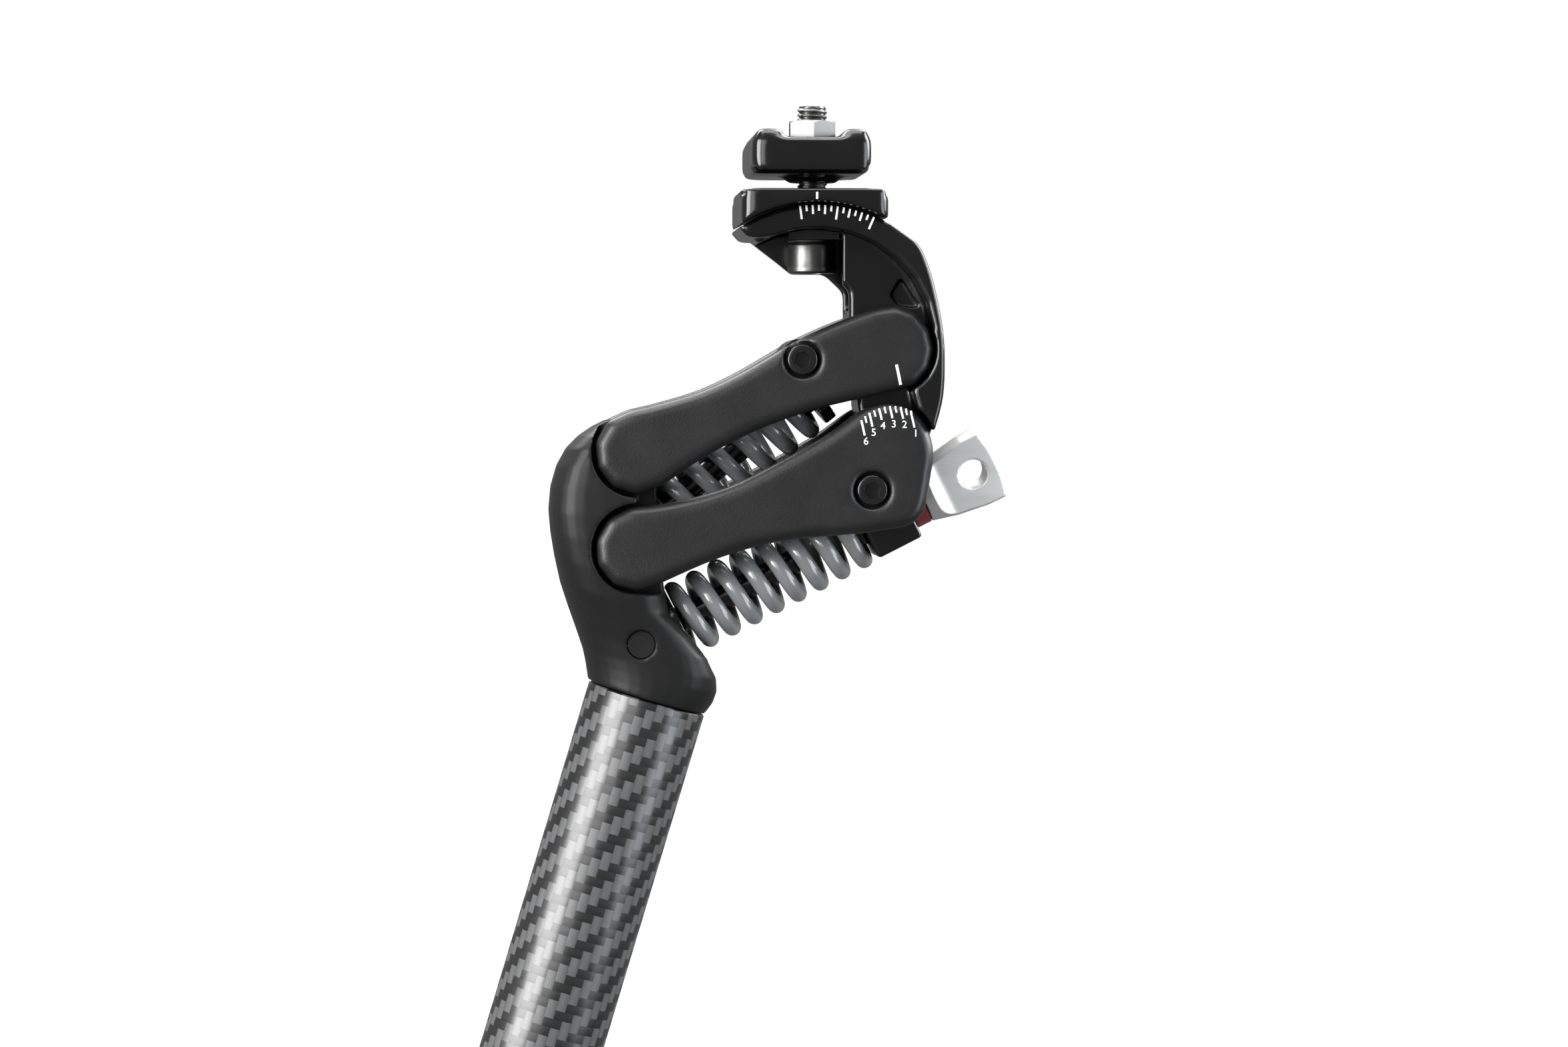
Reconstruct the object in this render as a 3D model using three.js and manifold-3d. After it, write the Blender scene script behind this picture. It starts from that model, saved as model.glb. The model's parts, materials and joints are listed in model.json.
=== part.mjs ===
// Parallelogram suspension seatpost for a bicycle, drawn at its riding angle. Units are millimetres.
// +X points to the rear of the bicycle, +Y to its right side and +Z up.
// The origin is on the seat tube's axis at the minimum insertion depth.
import * as THREE from "three";
import { mergeVertices } from "three/addons/utils/BufferGeometryUtils.js";
import { ConvexGeometry } from "three/addons/geometries/ConvexGeometry.js";
import { ParametricGeometry } from "three/addons/geometries/ParametricGeometry.js";
import Module from "manifold-3d";

const wasm = await Module();
wasm.setup();

// ---- driving dimensions ----
const TAU = Math.PI * 2;
const radians = THREE.MathUtils.degToRad;
const FIT = 0.2; // gap round a fixed piece in its seat
const RUN = 0.08; // radial gap of a bore that turns on a shaft
const PAST = 30; // how far a cutting tool reaches sideways past the object

const TUBE_LEAN = radians(16.8);
const TUBE_R = 15.8;
const TUBE_WALL = 2.6;
const TUBE_INSERTED = 100; // from the lower end to the insertion mark
const TUBE_SHOWING = 110; // from the insertion mark to the head
const SPIGOT_LENGTH = 30; // of the head, bonded into the tube

const LINK_ANGLE = radians(22);
const LINK_LENGTH = 71;
const PIVOT_RISE = 25; // between the lower and the upper pivot of each end
const FRONT_LOWER = { x: 28.7, z: 145.2 };
const ARM_INSIDE = 12.5; // half the space between the left and right arms
const ARM_OUTSIDE = 22;
const ARM_FRONT_R = 10.9;
const ARM_REAR_R = 11.3;
const ARM_BEVEL = 1.9;
const HEAD_ROOM = 0.8; // round an arm's front end
const BRACKET_ROOM = 0.5; // round an arm's rear end
const BETWEEN = 12.2; // half width of what stands between the arms
const AXLE_R = 4;
const AXLE_SCREW_R = 5;
const BEARING_R = 7;
const BEARING_DEPTH = 6;
const SCREW_HEAD_R = 3.9;
const SCREW_HEAD_DEPTH = 2.4;
const SCREW_SHANK_R = 2;
const SCREW_HEX_R = 2.3;
const THREAD_HOLE_R = 2.2;

const SPRING_R = 8.05; // centre of the wire
const WIRE_R = 2.2;
const SPRING_CLEAR = 10.6; // radius of the space cut for a spring
const SEAT_PLATE_R = 10;
const GUIDE_R = 3.4; // post inside a spring
const LOWER_SWING = radians(24.3); // how far each spring swings down as the links fold
const UPPER_SWING = radians(21.4);
const CROSS_PIN_R = 3.5;
const TRUNNION_R = 3.6;
const EYE_R = 5.5; // round the trunnion
const SEAT_HALF = 10.2; // half width of a rear seat

const WASHER_START = 79.2; // the adjuster's places are measured along the lower spring's axis
const WASHER_R = 7;
const PRELOAD_SCREW_R = 3;
const KNOB_START = 83.2;
const KNOB_END = 103.5;
const KNOB_CROWN = 1.5;
const KNOB_FLAT = 4.2; // half the paddle's thickness
const KNOB_SHOULDER = 90.2; // where the paddle begins
const KNOB_SCOOP_R = 4;
const KNOB_HOLE = 98;
const KNOB_HOLE_R = 3.9;
const KNOB_TURN = radians(10);

const ARC = { x: 75.4, z: 197.9 }; // centre of the saddle tilt
const ARC_R = 36.5;
const ARC_INNER_R = 30.4;
const TILT_BACK = radians(14);
const TILT_FORWARD = radians(8);
const COLUMN_LEFT = 84.3;
const BOSS_R = 6; // of the bracket, round its lower pivot
const WINDOW_END = 82.6; // the left wall of the bolt's pocket is open in front of this
const POCKET_HALF = 8.2;

const RAIL_Y = 22;
const RAIL_D = 7;
const RAIL_Z = 239.9; // centre of the saddle rails
const CLAMP_HALF = 27;
const CRADLE_TOP = 238.2;
const CLAMP_UNDERSIDE = 242.2;
const CLAMP_TOP = 251.3;
const RIDGE_TOP = 253.4;
const NUT_R = 6.8;
const NUT_BOTTOM = 251.6;
const NUT_TOP = 256.7;
const BOLT_R = 4;
const BOLT_TIP = 260.6;
const BOLT_HEAD_R = 6.4;
const BOLT_HEAD_TOP = 225.4;
const BOLT_HEAD_BOTTOM = 216.8;
const BOLT_HEX_R = 3.4;
const BOLT_HEX_DEPTH = 4.5;

const at = (origin, angle, along, across) => ({
  x: origin.x + along * Math.cos(angle) - across * Math.sin(angle),
  z: origin.z + along * Math.sin(angle) + across * Math.cos(angle),
});
const FRONT_UPPER = { x: FRONT_LOWER.x, z: FRONT_LOWER.z + PIVOT_RISE };
const REAR_LOWER = at(FRONT_LOWER, LINK_ANGLE, LINK_LENGTH, 0);
const REAR_UPPER = at(FRONT_UPPER, LINK_ANGLE, LINK_LENGTH, 0);
const LOWER_TRUNNION = at(FRONT_LOWER, LINK_ANGLE, 62.1, -8.8);
const UPPER_TRUNNION = at(FRONT_UPPER, LINK_ANGLE, 48.6, 6.1);

// Each spring works along its own axis, from a front pivot in the head to a trunnion in the arms.
// offset is how far the axis passes above the front pivot. firstTurn is where round the axis the wire
// begins, in turns, and eye is the trunnion's place along and across the axis.
const LOWER_SPRING = {
  angle: radians(26.96),
  front: { x: 29.9, z: 120.3 },
  offset: 0,
  start: 12.2,
  end: 65.2,
  pitch: 6.5,
  firstTurn: 0.105,
  eye: { x: 71.33, z: 8.6 },
};
const UPPER_SPRING = {
  angle: radians(38.69),
  front: FRONT_LOWER,
  offset: 2.9,
  start: 12.2,
  end: 59.2,
  pitch: 7.15,
  firstTurn: -0.233,
  eye: { x: 63.93, z: 8.5 },
};

// The head from the tube upwards: front edge, rear edge, half width, and squareness in front and behind.
const HEAD_SLICES = 36;
const HEAD_SECTIONS = [
  [[16.3, 110.4], [47.0, 101.1], 16.1, 2.0, 2.0],
  [[15.8, 114.0], [49.9, 105.4], 16.3, 2.1, 2.3],
  [[14.9, 118.5], [50.0, 110.6], 16.6, 2.2, 3.0],
  [[12.2, 126.4], [46.4, 119.0], 17.6, 2.4, 3.6],
  [[9.0, 136.0], [37.8, 127.6], 19.6, 2.8, 3.6],
  [[6.9, 146.5], [35.8, 139.0], 21.4, 3.4, 3.6],
  [[6.0, 155.0], [34.8, 152.0], 22.0, 3.6, 3.6],
  [[7.2, 164.0], [34.4, 163.0], 22.0, 3.6, 3.6],
  [[10.6, 171.0], [35.0, 171.6], 21.6, 3.4, 3.4],
  [[15.6, 175.6], [34.6, 176.2], 20.6, 3.2, 3.2],
  [[20.8, 178.4], [33.0, 179.0], 18.6, 3.0, 3.0],
];

// ---- materials ----
function metal(color, roughness, metalness) {
  return new THREE.MeshStandardMaterial({ color, roughness, metalness });
}
const CARBON = metal(0x2a2b2c, 0.25, 0.2);
const SATIN_BLACK = metal(0x18191a, 0.5, 0.4);
const GLOSS_BLACK = metal(0x101112, 0.3, 0.4);
const SPRING_GREY = metal(0x7c8084, 0.35, 0.5);
const BARE_ALUMINIUM = metal(0xb9b9b6, 0.35, 0.9);
const BRIGHT_STEEL = metal(0xc9c9c7, 0.25, 1);
const DARK_STEEL = metal(0x2b2c2e, 0.35, 0.8);
const BRONZE = metal(0x8c6b3a, 0.4, 0.8);
const RED_ANODISED = metal(0x9a3230, 0.4, 0.6);

// ---- solids ----
function solid(geometry) {
  const plain = geometry.index ? geometry.toNonIndexed() : geometry.clone();
  plain.deleteAttribute("normal");
  plain.deleteAttribute("uv");
  const merged = mergeVertices(plain, 1e-4);
  const corners = merged.index.array;
  const triangles = [];
  for (let i = 0; i < corners.length; i += 3) {
    const [a, b, c] = [corners[i], corners[i + 1], corners[i + 2]];
    if (a !== b && b !== c && c !== a) triangles.push(a, b, c);
  }
  const positions = Float32Array.from(merged.attributes.position.array);
  const triVerts = Uint32Array.from(triangles);
  const mesh = new wasm.Mesh({ numProp: 3, vertProperties: positions, triVerts });
  return new wasm.Manifold(mesh);
}

const join = (...solids) => solids.reduce((a, b) => a.add(b));
const cut = (body, ...tools) => tools.reduce((a, b) => a.subtract(b), body);

// The outline's points, without those that fall on their neighbour.
function cleaned(shape, curveSegments) {
  const points = shape.getPoints(curveSegments);
  const apart = points.filter((point, i) => i === 0 || point.distanceTo(points[i - 1]) > 0.05);
  if (apart[0].distanceTo(apart.at(-1)) < 0.05) apart.pop();
  return new THREE.Shape(apart);
}

// An outline in (x, z) given a thickness from yLow to yHigh.
function slab(shape, yLow, yHigh, bevel = 0, curveSegments = 4) {
  const geometry = new THREE.ExtrudeGeometry(cleaned(shape, curveSegments), {
    depth: yHigh - yLow - 2 * bevel,
    bevelEnabled: bevel > 0,
    bevelThickness: bevel,
    bevelSize: bevel,
    bevelOffset: -bevel,
    bevelSegments: 1,
  });
  return solid(geometry.rotateX(Math.PI / 2).translate(0, yHigh - bevel, 0));
}

function crossRod(centre, r, yLow, yHigh, sides = 24) {
  const rod = new THREE.CylinderGeometry(r, r, yHigh - yLow, sides);
  return solid(rod.translate(centre.x, (yLow + yHigh) / 2, centre.z));
}

function uprightRod(x, r, zLow, zHigh, sides = 24) {
  const rod = new THREE.CylinderGeometry(r, r, zHigh - zLow, sides).rotateX(Math.PI / 2);
  return solid(rod.translate(x, 0, (zLow + zHigh) / 2));
}

function block([x0, x1], [y0, y1], [z0, z1]) {
  const box = new THREE.BoxGeometry(x1 - x0, y1 - y0, z1 - z0);
  return solid(box.translate((x0 + x1) / 2, (y0 + y1) / 2, (z0 + z1) / 2));
}

// A closed outline through corners [x, z, radius], each rounded by its radius.
function outline(corners) {
  const points = corners.map(([x, z]) => new THREE.Vector2(x, z));
  const shape = new THREE.Shape();
  corners.forEach(([, , radius = 0], i) => {
    const here = points[i];
    const before = points[(i + points.length - 1) % points.length].clone().sub(here);
    const after = points[(i + 1) % points.length].clone().sub(here);
    const half = Math.acos(before.dot(after) / before.length() / after.length()) / 2;
    const reach = Math.min(radius / Math.tan(half), before.length() * 0.49, after.length() * 0.49);
    const enter = here.clone().addScaledVector(before.normalize(), reach);
    const leave = here.clone().addScaledVector(after.normalize(), reach);
    if (i === 0) shape.moveTo(enter.x, enter.y);
    else shape.lineTo(enter.x, enter.y);
    if (radius > 0) shape.quadraticCurveTo(here.x, here.y, leave.x, leave.y);
  });
  shape.closePath();
  return shape;
}

const polygon = (points) => new THREE.Shape(points.map(([x, z]) => new THREE.Vector2(x, z)));

// A ring sector about a centre, from the angle start to the angle end.
function sector(centre, inner, outer, start, end) {
  const shape = new THREE.Shape();
  shape.absarc(centre.x, centre.z, outer, start, end, false);
  shape.absarc(centre.x, centre.z, inner, end, start, true);
  shape.closePath();
  return shape;
}

// ---- springs and the frame they share ----
// In a spring's frame X runs along its axis and Z across it; turn is how far the spring has swung down.
function inSpringFrame(body, spring, turn = 0) {
  const angle = spring.angle - turn;
  const placed = new THREE.Matrix4().makeRotationY(-angle).setPosition(spring.front.x, 0, spring.front.z);
  const matrix = placed.multiply(new THREE.Matrix4().makeTranslation(0, 0, spring.offset));
  return body.transform(matrix.elements);
}

function alongRod(start, end, r, sides = 24) {
  const rod = new THREE.CylinderGeometry(r, r, end - start, sides).rotateZ(-Math.PI / 2);
  return solid(rod.translate((start + end) / 2, 0, 0));
}

class Helix extends THREE.Curve {
  constructor({ start, end, pitch, firstTurn }) {
    super();
    this.start = start + WIRE_R;
    this.run = end - start - 2 * WIRE_R;
    this.turns = this.run / pitch;
    this.firstTurn = firstTurn;
  }
  getPoint(t, target = new THREE.Vector3()) {
    const angle = TAU * (this.firstTurn + this.turns * t);
    return target.set(this.start + this.run * t, -SPRING_R * Math.sin(angle), SPRING_R * Math.cos(angle));
  }
}

function regular(sides, r, turn = 0) {
  const points = [];
  for (let i = 0; i < sides; i++) {
    const angle = turn + (TAU * i) / sides;
    points.push([r * Math.cos(angle), r * Math.sin(angle)]);
  }
  return polygon(points);
}

function coil(spring) {
  const path = new Helix(spring);
  const steps = Math.round(path.turns * 11);
  const sweep = { steps, extrudePath: path, bevelEnabled: false };
  return inSpringFrame(solid(new THREE.ExtrudeGeometry(regular(6, WIRE_R), sweep)), spring);
}

// The space a spring and its front seat sweep inside the head as the links fold.
function springSpace(spring, swing, eyeR) {
  const neckHalf = 5.3;
  const necks = [crossRod(spring.front, eyeR, -neckHalf, neckHalf)];
  for (const turn of [0, swing / 3, (swing * 2) / 3, swing]) {
    const neck = block([-0.6, 10], [-neckHalf, neckHalf], [-eyeR - spring.offset, eyeR]);
    necks.push(inSpringFrame(neck, spring, turn));
  }
  // The coils and the seat plate sweep a wedge that is round above and below.
  const corners = [];
  const rod = new THREE.CylinderGeometry(SPRING_CLEAR, SPRING_CLEAR, 51, 32).rotateZ(-Math.PI / 2);
  for (const turn of [0, swing]) {
    const placed = rod.clone().translate(9.2 + 51 / 2, 0, spring.offset);
    placed.rotateY(turn - spring.angle).translate(spring.front.x, 0, spring.front.z);
    const { position } = placed.attributes;
    for (let i = 0; i < position.count; i++) {
      corners.push(new THREE.Vector3().fromBufferAttribute(position, i));
    }
  }
  return join(solid(new ConvexGeometry(corners)), ...necks);
}

function frontSeat(spring, boreR, eyeR) {
  const centre = { x: 0, z: -spring.offset };
  const plate = join(
    crossRod(centre, eyeR, -5, 5),
    block([0, 10], [-5, 5], [-eyeR * 0.8 - spring.offset, eyeR * 0.8]),
    alongRod(9.6, spring.start - 0.3, SEAT_PLATE_R),
    alongRod(spring.start - 2, spring.end - 19, GUIDE_R, 20),
  );
  return inSpringFrame(cut(plate, crossRod(centre, boreR + RUN, -6, 6)), spring);
}

// ---- pieces ----
const parts = new THREE.Group();

function add(name, body, material) {
  const mesh = body.getMesh();
  const stride = mesh.numProp;
  const positions = new Float32Array(mesh.numVert * 3);
  for (let i = 0; i < mesh.numVert; i++) {
    positions.set(mesh.vertProperties.subarray(i * stride, i * stride + 3), i * 3);
  }
  const geometry = new THREE.BufferGeometry();
  geometry.setAttribute("position", new THREE.BufferAttribute(positions, 3));
  geometry.setIndex(new THREE.BufferAttribute(mesh.triVerts, 1));
  geometry.computeVertexNormals();
  const piece = new THREE.Mesh(geometry, material);
  piece.name = name;
  parts.add(piece);
}

// A body drawn upright on the origin, leant over with the seat tube.
function alongTube(body) {
  return body.transform(new THREE.Matrix4().makeRotationY(TUBE_LEAN).elements);
}

function seatTube() {
  const outer = uprightRod(0, TUBE_R, -TUBE_INSERTED, TUBE_SHOWING, 48);
  const bore = uprightRod(0, TUBE_R - TUBE_WALL, -TUBE_INSERTED - 1, TUBE_SHOWING + 1, 48);
  add("seat_tube", alongTube(cut(outer, bore)), CARBON);
}

// The head's outer surface: rounded sections lofted along its front and rear edges.
function headLoft() {
  const edge = (side) => {
    const points = HEAD_SECTIONS.map((section) => new THREE.Vector3(section[side][0], 0, section[side][1]));
    return new THREE.CatmullRomCurve3(points);
  };
  const front = edge(0);
  const rear = edge(1);
  const last = HEAD_SECTIONS.length - 1;
  const mix = (v, column) => {
    const place = v * last;
    const low = Math.min(Math.floor(place), last - 1);
    return THREE.MathUtils.lerp(HEAD_SECTIONS[low][column], HEAD_SECTIONS[low + 1][column], place - low);
  };
  const rounded = (value, power) => Math.sign(value) * Math.abs(value) ** (2 / power);
  const stacks = Math.round(1.5 * last) + 2; // the first and the last stack close the ends
  const surface = (u, v, target) => {
    const row = Math.round(v * stacks);
    const height = Math.min(Math.max((row - 1) / (stacks - 2), 0), 1);
    const size = row === 0 || row === stacks ? 0 : 1;
    const a = front.getPoint(height);
    const b = rear.getPoint(height);
    const angle = (TAU * (Math.round(u * HEAD_SLICES) % HEAD_SLICES)) / HEAD_SLICES;
    const power = mix(height, Math.cos(angle) > 0 ? 4 : 3);
    const forward = (size * rounded(Math.cos(angle), power)) / 2;
    const middle = a.clone().add(b).multiplyScalar(0.5);
    target.copy(middle).addScaledVector(b.clone().sub(a), forward);
    target.y = size * mix(height, 2) * rounded(Math.sin(angle), power);
  };
  return solid(new ParametricGeometry(surface, HEAD_SLICES, stacks));
}

// The room an arm's end and its lower edge need beside the head.
function armRoomAtHead(yLow, yHigh) {
  const r = ARM_FRONT_R + HEAD_ROOM;
  const behind = polygon([
    [FRONT_LOWER.x, FRONT_LOWER.z - r],
    [70, FRONT_LOWER.z - r],
    [70, FRONT_UPPER.z + r],
    [FRONT_UPPER.x, FRONT_UPPER.z + r],
  ]);
  return join(
    crossRod(FRONT_LOWER, r, yLow, yHigh, 36),
    crossRod(FRONT_UPPER, r, yLow, yHigh, 36),
    slab(behind, yLow, yHigh),
  );
}

function lowerHead() {
  const boreR = TUBE_R - TUBE_WALL - FIT;
  const bottom = TUBE_SHOWING - SPIGOT_LENGTH;
  const spigot = uprightRod(0, boreR, bottom, TUBE_SHOWING + 6, 48);
  const tubeRoom = cut(
    uprightRod(0, TUBE_R + 6, bottom - 1, TUBE_SHOWING + FIT, 48),
    uprightRod(0, boreR, bottom - 2, TUBE_SHOWING + 1, 48),
  );
  const body = join(headLoft(), alongTube(spigot));
  add("lower_head", cut(
    body,
    alongTube(tubeRoom),
    armRoomAtHead(BETWEEN, PAST),
    armRoomAtHead(-PAST, -BETWEEN),
    springSpace(LOWER_SPRING, LOWER_SWING, 6.4),
    springSpace(UPPER_SPRING, UPPER_SWING, 7.3),
    crossRod(LOWER_SPRING.front, CROSS_PIN_R + FIT, -PAST, PAST),
    crossRod(FRONT_LOWER, AXLE_R + FIT, -PAST, PAST),
    crossRod(FRONT_UPPER, AXLE_R + FIT, -PAST, PAST),
  ), GLOSS_BLACK);
  add("head_cross_pin", crossRod(LOWER_SPRING.front, CROSS_PIN_R, -16.6, 16.6), GLOSS_BLACK);
}

const curveThrough = (shape, points) => shape.splineThru(points.map(([x, z]) => new THREE.Vector2(x, z)));

// An arm's outline in link coordinates, from the front pivot at (0, 0) to the rear one.
function upperArmShape() {
  const shape = new THREE.Shape();
  const start = radians(75);
  const [startX, startZ] = [ARM_FRONT_R * Math.cos(start), ARM_FRONT_R * Math.sin(start)];
  shape.moveTo(startX, startZ);
  curveThrough(shape, [[10, 9.4], [22, 8.3], [34, 9.0], [48, 11.0], [60, 11.7], [LINK_LENGTH, ARM_REAR_R]]);
  shape.absarc(LINK_LENGTH, 0, ARM_REAR_R, Math.PI / 2, radians(-78), true);
  curveThrough(shape, [[62, -9.4], [46, -7.0], [30, -6.5], [16, -7.8], [startX, -startZ]]);
  shape.absarc(0, 0, ARM_FRONT_R, -start, start - TAU, true);
  return shape;
}

// The lower arm ends in a broad heel that carries the trunnion.
function lowerArmShape() {
  const shape = new THREE.Shape();
  const start = radians(76);
  const [startX, startZ] = [ARM_FRONT_R * Math.cos(start), ARM_FRONT_R * Math.sin(start)];
  const rear = LINK_LENGTH - 0.6;
  shape.moveTo(startX, startZ);
  curveThrough(shape, [[9, 8.6], [18, 6.8], [29, 5.9], [42, 6.9], [56, 8.7], [66, 11.1], [rear, ARM_REAR_R]]);
  shape.absarc(rear, 0, ARM_REAR_R, Math.PI / 2, radians(8), true);
  shape.lineTo(81.4, -2.4);
  shape.quadraticCurveTo(81.1, -5.6, 79.4, -8.4);
  shape.lineTo(74.6, -16.4);
  shape.quadraticCurveTo(71.8, -21.4, 66.4, -20.9);
  curveThrough(shape, [[56, -18.4], [43, -14.3], [32, -11.6], [18, -10.2], [startX, -startZ]]);
  shape.absarc(0, 0, ARM_FRONT_R, -start, start - TAU, true);
  return shape;
}

// Places what is drawn in link coordinates on a pair of front and rear pivots.
function onLink(body, front) {
  const placed = new THREE.Matrix4().makeRotationY(-LINK_ANGLE).setPosition(front.x, 0, front.z);
  return body.transform(placed.elements);
}

// The Y range between two distances from the middle, on one side of the object.
const span = (side, inner, outer) => (side > 0 ? [inner, outer] : [-outer, -inner]);

// An arm, with recesses for its bearings and a counterbore for the trunnion screw.
function arm(name, side, shape, front, rear, trunnion) {
  const holes = [
    crossRod(trunnion, SCREW_SHANK_R + 0.3, ...span(side, 0, PAST), 20),
    crossRod(trunnion, SCREW_HEAD_R + 0.9, ...span(side, ARM_OUTSIDE - SCREW_HEAD_DEPTH - FIT, PAST), 28),
  ];
  for (const pivot of [front, rear]) {
    holes.push(crossRod(pivot, BEARING_R + FIT, ...span(side, 0, ARM_INSIDE + BEARING_DEPTH + 2 * FIT)));
    if (side > 0) holes.push(crossRod(pivot, AXLE_SCREW_R + 0.4, 0, PAST));
  }
  const plate = slab(shape, ...span(side, ARM_INSIDE, ARM_OUTSIDE), ARM_BEVEL, 3);
  add(name, cut(onLink(plate, front), ...holes), SATIN_BLACK);
}

function bearing(name, side, pivot) {
  const low = ARM_INSIDE + FIT;
  const ring = crossRod(pivot, BEARING_R, ...span(side, low, low + BEARING_DEPTH));
  add(name, cut(ring, crossRod(pivot, AXLE_R + RUN, -PAST, PAST)), BRONZE);
}

function socketScrew(side, centre, headR, tip) {
  const face = ARM_OUTSIDE - FIT;
  const socket = slab(regular(6, SCREW_HEX_R), ...span(side, face - 1.8, face + 1));
  const hex = socket.translate([centre.x, 0, centre.z]);
  const body = join(
    crossRod(centre, headR, ...span(side, face - SCREW_HEAD_DEPTH, face), 28),
    crossRod(centre, SCREW_SHANK_R, ...span(side, tip, face - 1), 20),
  );
  return cut(body, hex);
}

function link(which, shape, front, rear, trunnion) {
  for (const [hand, side] of [["left", -1], ["right", 1]]) {
    arm(`${which}_arm_${hand}`, side, shape, front, rear, trunnion);
    bearing(`${which}_front_bearing_${hand}`, side, front);
    bearing(`${which}_rear_bearing_${hand}`, side, rear);
    add(`${which}_trunnion_screw_${hand}`, socketScrew(side, trunnion, SCREW_HEAD_R, 8), DARK_STEEL);
  }
  const shaft = crossRod(trunnion, TRUNNION_R, -BETWEEN, BETWEEN);
  const threads = [-1, 1].map((side) => crossRod(trunnion, THREAD_HOLE_R, ...span(side, 7.5, 20), 20));
  add(`${which}_trunnion`, cut(shaft, ...threads), BRIGHT_STEEL);
}

// A pivot axle, closed on the right by a socket cap screwed into its end.
function axle(name, pivot) {
  const end = ARM_OUTSIDE - SCREW_HEAD_DEPTH - 2 * FIT;
  const shaft = crossRod(pivot, AXLE_R, -ARM_INSIDE - BEARING_DEPTH, end);
  add(name, cut(shaft, crossRod(pivot, THREAD_HOLE_R, end - 9, PAST, 20)), BRIGHT_STEEL);
  add(`${name}_screw`, socketScrew(1, pivot, AXLE_SCREW_R, end - 8), DARK_STEEL);
}

// ---- saddle bracket ----
// The rim carries the cradle and runs on round the rear as the bracket's spine.
function bracketRim() {
  const shape = new THREE.Shape();
  shape.absarc(ARC.x, ARC.z, ARC_R, radians(124), radians(50), true);
  curveThrough(shape, [
    [101.9, 223.2],
    [104.4, 217.6],
    [106.3, 210.6],
    [107.9, 202.0],
    [108.4, 194.0],
    [107.9, 184.0],
    [105.2, 173.8],
  ]);
  shape.lineTo(103.4, 173.8);
  shape.lineTo(100, 186);
  shape.lineTo(104.4, 200);
  shape.absarc(ARC.x, ARC.z, ARC_INNER_R, radians(8), radians(112), false);
  shape.quadraticCurveTo(59.5, 225, 57, 225.9);
  return slab(shape, -ARM_OUTSIDE, ARM_OUTSIDE, 0.8);
}

// The web joins the rim to the lower rear pivot, between the arms.
function bracketWeb() {
  const web = slab(outline([
    [56.5, 227.6],
    [67.2, 219.4, 1.2],
    [70.4, BOLT_HEAD_BOTTOM, 2],
    [79.2, BOLT_HEAD_BOTTOM, 4],
    [COLUMN_LEFT, 212, 4],
    [COLUMN_LEFT, 204, 3],
    [86.4, 196, 6],
    [86.6, 182, 3],
    [REAR_LOWER.x - BOSS_R + 0.3, REAR_LOWER.z - 0.5, 2],
    [REAR_LOWER.x + BOSS_R - 0.3, REAR_LOWER.z - 0.5, 2],
    [104.6, 175],
    [106.4, 190],
    [105.8, 204],
    [101.5, 217],
    [91, 228],
    [75, 232],
    [62, 230],
  ]), -BETWEEN, BETWEEN, 0.8);
  return join(web, crossRod(REAR_LOWER, BOSS_R, -BETWEEN, BETWEEN, 36));
}

// The bolt passes a curved slot, and its head swings in a pocket inside the web.
function boltPocket() {
  const slack = 0.03 + BOLT_R / ARC_INNER_R;
  const slotStart = Math.PI / 2 - TILT_BACK - slack;
  const slotEnd = Math.PI / 2 + TILT_FORWARD + slack;
  const slot = slab(sector(ARC, 24, 40, slotStart, slotEnd), -BOLT_R - 0.4, BOLT_R + 0.4);
  const headSlack = 0.25 + BOLT_HEAD_R / 20;
  const headStart = Math.PI / 2 - TILT_BACK - headSlack;
  const headEnd = Math.PI / 2 + TILT_FORWARD + headSlack;
  const swing = sector(ARC, 12, ARC_INNER_R, headStart, headEnd);
  const pocket = slab(swing, -POCKET_HALF, POCKET_HALF);
  const window = slab(swing, -PAST, 0).intersect(block([50, WINDOW_END], [-PAST, PAST], [200, 240]));
  return [slot, pocket, window];
}

function upperBracket() {
  const room = ARM_REAR_R + BRACKET_ROOM;
  const rooms = [];
  for (const pivot of [REAR_LOWER, REAR_UPPER]) {
    rooms.push(crossRod(pivot, room, BETWEEN, PAST, 36), crossRod(pivot, room, -PAST, -BETWEEN, 36));
    rooms.push(crossRod(pivot, AXLE_R + FIT, -PAST, PAST));
  }
  const recess = outline([[94.9, 210.9, 1], [97.8, 215.8, 1], [103.0, 207.4, 1], [97.0, 208.2, 1]]);
  const dents = [-1, 1].map((side) => slab(recess, ...span(side, BETWEEN - 2, PAST)));
  const body = join(bracketRim(), bracketWeb());
  add("upper_bracket", cut(body, ...rooms, ...boltPocket(), ...dents), GLOSS_BLACK);
}

// ---- saddle clamp ----
function railGrooves(low, high) {
  const half = RAIL_D / 2 + 0.1;
  return [-1, 1].map((side) => block([0, 150], [side * RAIL_Y - half, side * RAIL_Y + half], [low, high]));
}

function plan(x0, x1, half, corner, zLow, zHigh) {
  const shape = outline([[x0, -half, corner], [x1, -half, corner], [x1, half, corner], [x0, half, corner]]);
  const geometry = new THREE.ExtrudeGeometry(cleaned(shape, 5), {
    depth: zHigh - zLow - 1.2,
    bevelThickness: 0.6,
    bevelSize: 0.6,
    bevelOffset: -0.6,
    bevelSegments: 1,
  });
  return solid(geometry.translate(0, 0, zLow + 0.6));
}

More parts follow.
